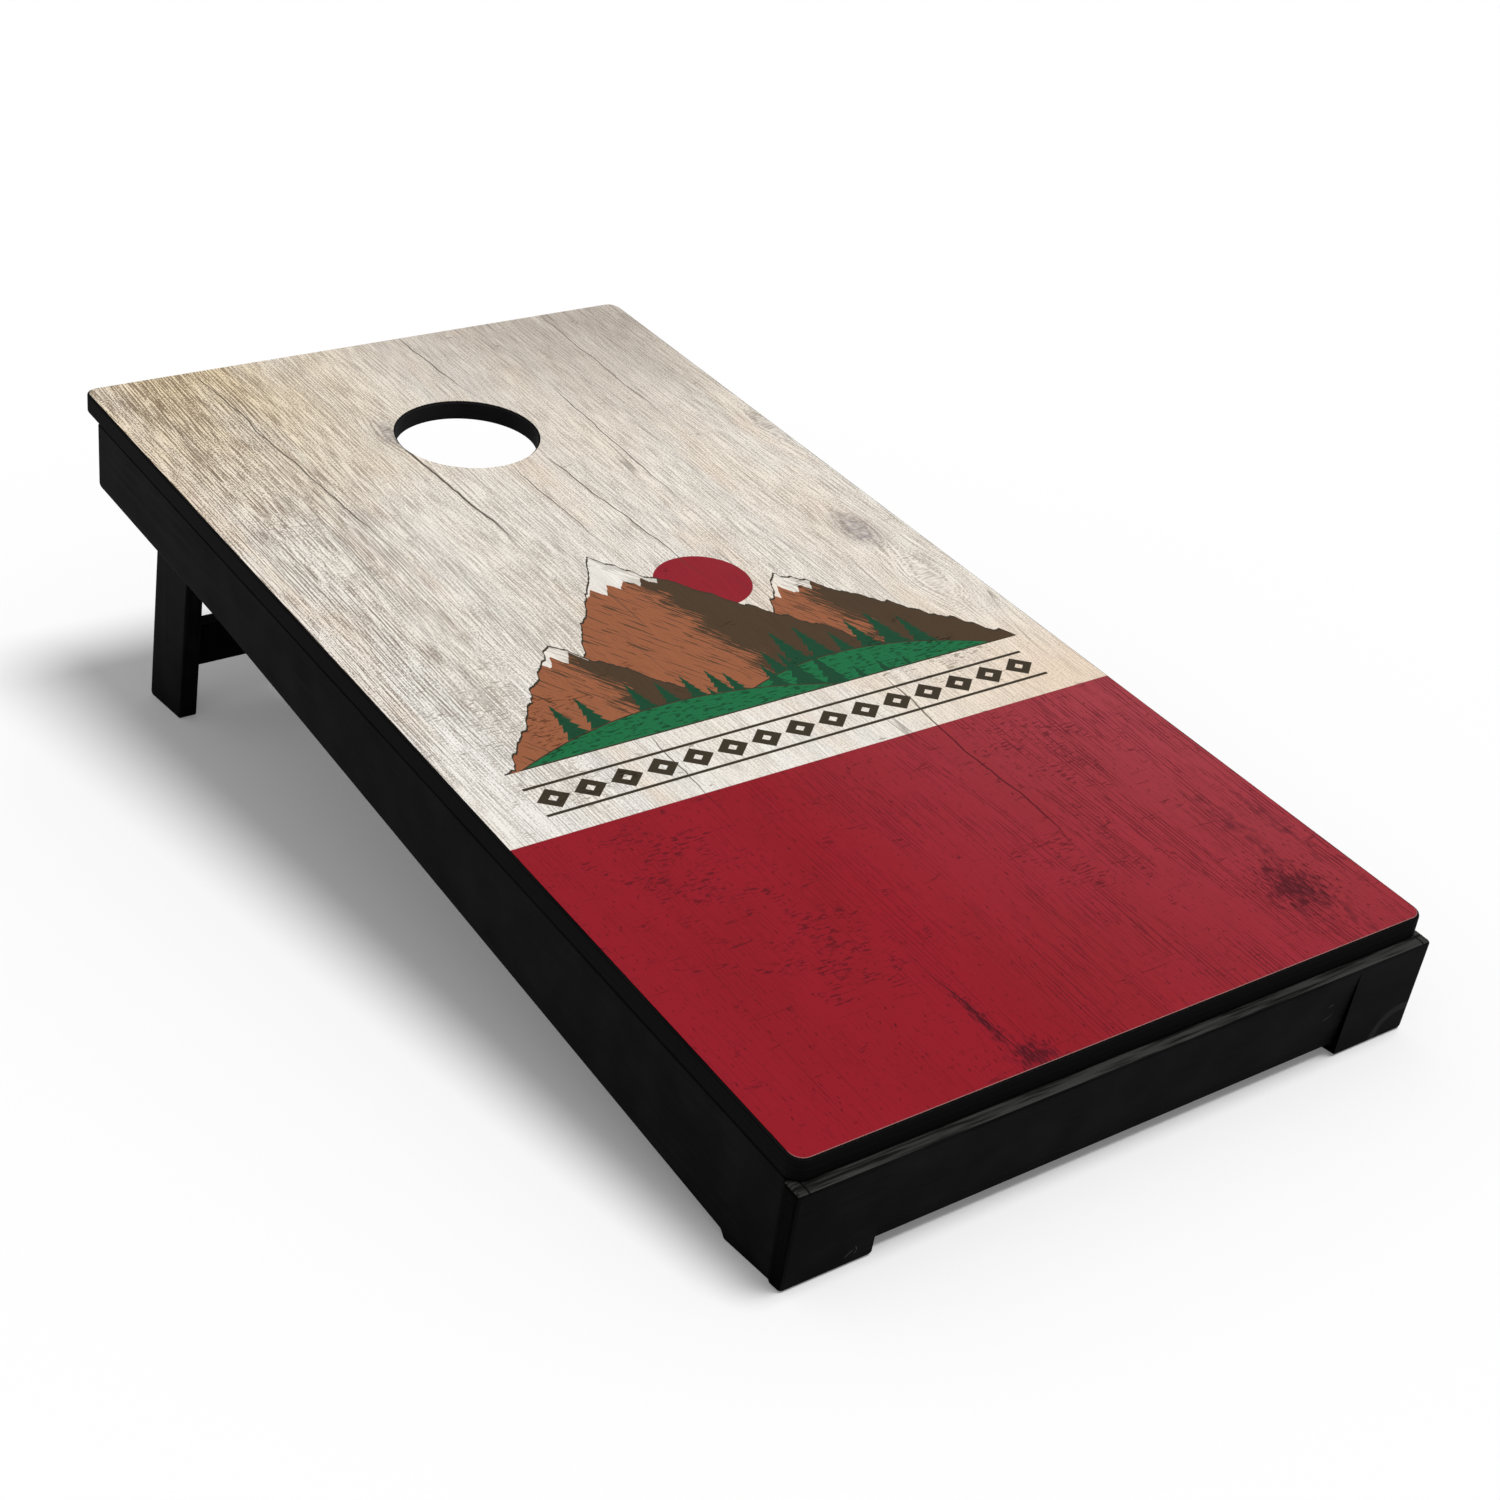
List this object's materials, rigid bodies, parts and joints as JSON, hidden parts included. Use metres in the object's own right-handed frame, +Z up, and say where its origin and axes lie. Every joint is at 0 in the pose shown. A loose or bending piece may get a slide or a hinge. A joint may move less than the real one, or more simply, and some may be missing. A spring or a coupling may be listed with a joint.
{
  "type": "cornhole board",
  "caption": "Tilted lawn game board with a round bag hole near its raised end, a printed deck on a timber frame and a folding leg frame that swings under the deck.",
  "frame": {"origin": "on the floor, under the middle of the board's outline", "axes": "+X across the deck to the right as seen from the low front edge, +Y from the low front edge to the raised rear edge, +Z up"},
  "size_m": [0.6146, 1.212, 0.3083],
  "materials": {
    "painted_timber": "black satin paint, brushed",
    "sealed_plywood": "black sealed plywood edge",
    "printed_film": "printed vinyl film, satin laminate",
    "pine": "bare planed pine",
    "zinc_steel": "zinc plated",
    "brass": "turned",
    "nylon": "black nylon"
  },
  "bodies": {
    "board": {"brace_block_left": "pine", "brace_block_left_deck_screw": "zinc_steel", "brace_block_left_end_screw": "zinc_steel", "brace_block_left_side_screw": "zinc_steel", "brace_block_right": "pine", "brace_block_right_deck_screw": "zinc_steel", "brace_block_right_end_screw": "zinc_steel", "brace_block_right_side_screw": "zinc_steel", "centre_brace": "painted_timber", "corner_block_front_left": "pine", "corner_block_front_left_deck_screw": "zinc_steel", "corner_block_front_left_end_screw": "zinc_steel", "corner_block_front_left_side_screw": "zinc_steel", "corner_block_front_right": "pine", "corner_block_front_right_deck_screw": "zinc_steel", "corner_block_front_right_end_screw": "zinc_steel", "corner_block_front_right_side_screw": "zinc_steel", "corner_block_rear_left": "pine", "corner_block_rear_left_deck_screw": "zinc_steel", "corner_block_rear_left_end_screw": "zinc_steel", "corner_block_rear_left_side_screw": "zinc_steel", "corner_block_rear_right": "pine", "corner_block_rear_right_deck_screw": "zinc_steel", "corner_block_rear_right_end_screw": "zinc_steel", "corner_block_rear_right_side_screw": "zinc_steel", "deck_film": "printed_film", "deck_panel": "sealed_plywood", "front_rail": "painted_timber", "pivot_bolt_left": "zinc_steel", "pivot_bolt_right": "zinc_steel", "pivot_insert_left": "brass", "pivot_insert_right": "brass", "pivot_spacer_left": "nylon", "pivot_spacer_right": "nylon", "pivot_washer_left": "zinc_steel", "pivot_washer_right": "zinc_steel", "rear_rail": "painted_timber", "side_rail_left": "painted_timber", "side_rail_right": "painted_timber"},
    "leg_frame": {"crossbar_screw_left_lower": "zinc_steel", "crossbar_screw_left_upper": "zinc_steel", "crossbar_screw_right_lower": "zinc_steel", "crossbar_screw_right_upper": "zinc_steel", "leg_crossbar": "painted_timber", "leg_left": "painted_timber", "leg_right": "painted_timber"}
  },
  "joints": [
    {"name": "leg_hinge", "type": "hinge", "parent": "board", "child": "leg_frame", "pos_m": [0, 0.44567, 0.22633], "axis": [-1, 0, 0], "range_deg": [0, 95]}
  ]
}
